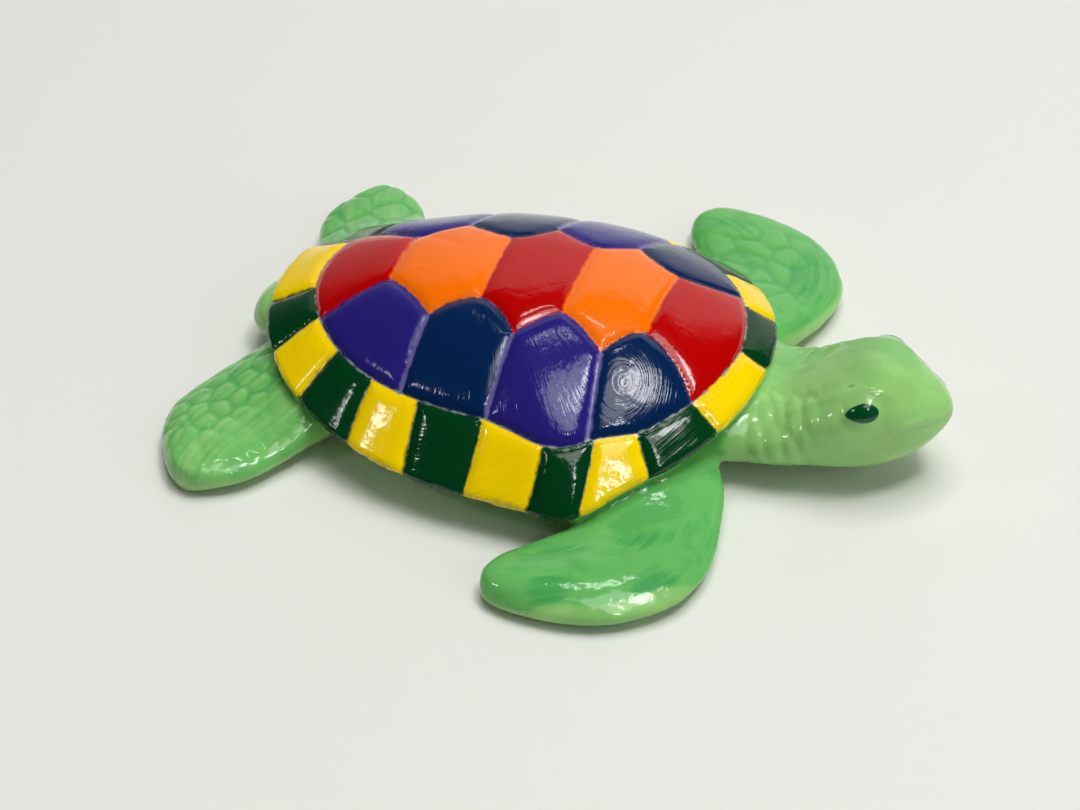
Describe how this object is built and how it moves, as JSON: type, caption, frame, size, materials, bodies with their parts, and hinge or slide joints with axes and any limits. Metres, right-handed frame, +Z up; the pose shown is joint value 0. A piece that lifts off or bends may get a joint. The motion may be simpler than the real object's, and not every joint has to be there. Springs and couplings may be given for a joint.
{
  "type": "sea turtle figurine",
  "caption": "Glazed ceramic sea turtle lying flat: domed shell with painted scutes, raised head, spread flippers and a stub tail.",
  "frame": {"origin": "on the table plane, on the flat belly below the middle of the shell", "axes": "+X towards the head, +Y to the turtle's left, +Z up"},
  "size_m": [0.1977, 0.1713, 0.0405],
  "materials": {
    "glazed_body": "clear gloss glaze over hand-painted underglaze colours: green skin, and a shell of red, orange, purple, navy, yellow and dark green scutes"
  },
  "bodies": {
    "root": {"sea_turtle": "glazed_body"}
  },
  "joints": []
}
